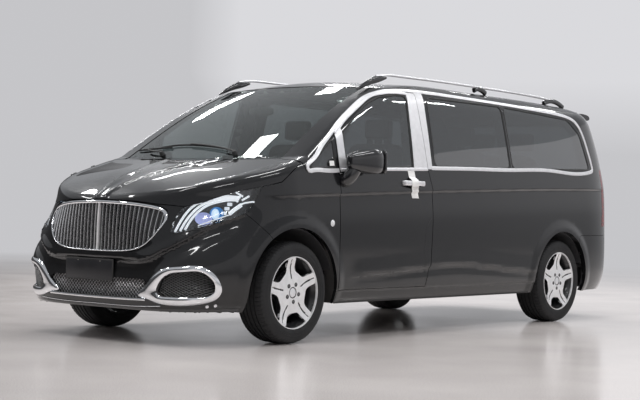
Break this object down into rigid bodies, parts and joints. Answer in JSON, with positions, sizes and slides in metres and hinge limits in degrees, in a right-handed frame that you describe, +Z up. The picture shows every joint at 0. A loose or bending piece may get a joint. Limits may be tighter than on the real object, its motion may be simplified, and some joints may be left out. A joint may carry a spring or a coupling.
{
  "type": "long-wheelbase minivan",
  "caption": "Black long-wheelbase minivan with a hollow cabin, opening front doors, bonnet and tailgate, steered front wheels and free-rolling wheels.",
  "frame": {"origin": "on the ground under the middle of the vehicle", "axes": "-Y forward, +X the vehicle's left, +Z up"},
  "size_m": [2.25, 5.3702, 1.9069],
  "materials": {
    "paint": "gloss black clear coat",
    "glass": "tinted glass",
    "chrome": "bright chrome",
    "lamp_clear": "clear lamp lens",
    "lamp_red": "red lamp lens",
    "dark_plastic": "matt black",
    "underbody": "satin black sealer",
    "castings": "cast metal",
    "steel": "brushed steel",
    "seat_leather": "dark leather",
    "alloy": "satin silver",
    "tyre": "black rubber"
  },
  "bodies": {
    "chassis": {"roof_panel": "paint", "body_side_left": "paint", "body_side_right": "paint", "sliding_door": "paint", "fender_left": "paint", "fender_right": "paint", "headlamp_left": "lamp_clear", "headlamp_right": "lamp_clear", "front_bumper": "paint", "plate_holder": "dark_plastic", "grille": "chrome", "rear_bumper": "paint", "taillamp_left": "lamp_red", "taillamp_right": "lamp_red", "windscreen": "glass", "side_glass_left": "glass", "side_glass_right": "glass", "cowl": "dark_plastic", "floor_pan": "underbody", "bulkhead": "underbody", "frame_rails": "underbody", "wheel_liners": "dark_plastic", "engine_block": "castings", "radiator": "dark_plastic", "exhaust": "steel", "fuel_tank": "dark_plastic", "front_seats": "seat_leather", "middle_seats": "seat_leather", "rear_seats": "seat_leather", "dashboard": "dark_plastic", "roof_rails": "chrome", "front_axle": "castings", "rear_axle": "castings"},
    "bonnet": {"bonnet": "paint"},
    "front_door_left": {"front_door_left": "paint", "door_glass_left": "glass", "mirror_left": "paint", "door_handle_left": "chrome"},
    "front_door_right": {"front_door_right": "paint", "door_glass_right": "glass", "mirror_right": "paint", "door_handle_right": "chrome"},
    "tailgate": {"tailgate": "paint", "rear_glass": "glass", "rear_spoiler": "paint"},
    "steering_wheel": {"steering_wheel": "dark_plastic"},
    "knuckle_left": {"knuckle_left": "castings"},
    "knuckle_right": {"knuckle_right": "castings"},
    "wheel_front_left": {"rim_front_left": "alloy", "tyre_front_left": "tyre"},
    "wheel_front_right": {"rim_front_right": "alloy", "tyre_front_right": "tyre"},
    "wheel_rear_left": {"rim_rear_left": "alloy", "tyre_rear_left": "tyre"},
    "wheel_rear_right": {"rim_rear_right": "alloy", "tyre_rear_right": "tyre"}
  },
  "joints": [
    {"name": "bonnet_hinge", "type": "hinge", "parent": "chassis", "child": "bonnet", "pos_m": [0, -1.728, 1.24], "axis": [-1, 0, 0], "range_deg": [0, 55]},
    {"name": "tailgate_hinge", "type": "hinge", "parent": "chassis", "child": "tailgate", "pos_m": [0, 2.425, 1.832], "axis": [1, 0, 0], "range_deg": [0, 85]},
    {"name": "front_door_left_hinge", "type": "hinge", "parent": "chassis", "child": "front_door_left", "pos_m": [0.966, -1.345, 0.8], "axis": [0, 0, -1], "range_deg": [0, 68]},
    {"name": "front_door_right_hinge", "type": "hinge", "parent": "chassis", "child": "front_door_right", "pos_m": [-0.966, -1.345, 0.8], "axis": [0, 0, 1], "range_deg": [0, 68]},
    {"name": "steer_left", "type": "hinge", "parent": "chassis", "child": "knuckle_left", "pos_m": [0.772, -1.79, 0.338], "axis": [0, 0, 1], "range_deg": [-36, 36]},
    {"name": "steer_right", "type": "hinge", "parent": "chassis", "child": "knuckle_right", "pos_m": [-0.772, -1.79, 0.338], "axis": [0, 0, 1], "range_deg": [-36, 36]},
    {"name": "wheel_front_left_spin", "type": "hinge", "parent": "knuckle_left", "child": "wheel_front_left", "pos_m": [0.833, -1.79, 0.338], "axis": [1, 0, 0], "continuous": true},
    {"name": "wheel_front_right_spin", "type": "hinge", "parent": "knuckle_right", "child": "wheel_front_right", "pos_m": [-0.833, -1.79, 0.338], "axis": [1, 0, 0], "continuous": true},
    {"name": "wheel_rear_left_spin", "type": "hinge", "parent": "chassis", "child": "wheel_rear_left", "pos_m": [0.823, 1.64, 0.338], "axis": [1, 0, 0], "continuous": true},
    {"name": "wheel_rear_right_spin", "type": "hinge", "parent": "chassis", "child": "wheel_rear_right", "pos_m": [-0.823, 1.64, 0.338], "axis": [1, 0, 0], "continuous": true},
    {"name": "steering_wheel_turn", "type": "hinge", "parent": "chassis", "child": "steering_wheel", "pos_m": [0.4, -1.1, 1.11], "axis": [0, 0.848, 0.5299], "range_deg": [-510, 510]}
  ],
  "couplings": [
    {"joint": "steer_right", "follows": "steer_left", "ratio": 1},
    {"joint": "steering_wheel_turn", "follows": "steer_left", "ratio": 14}
  ]
}
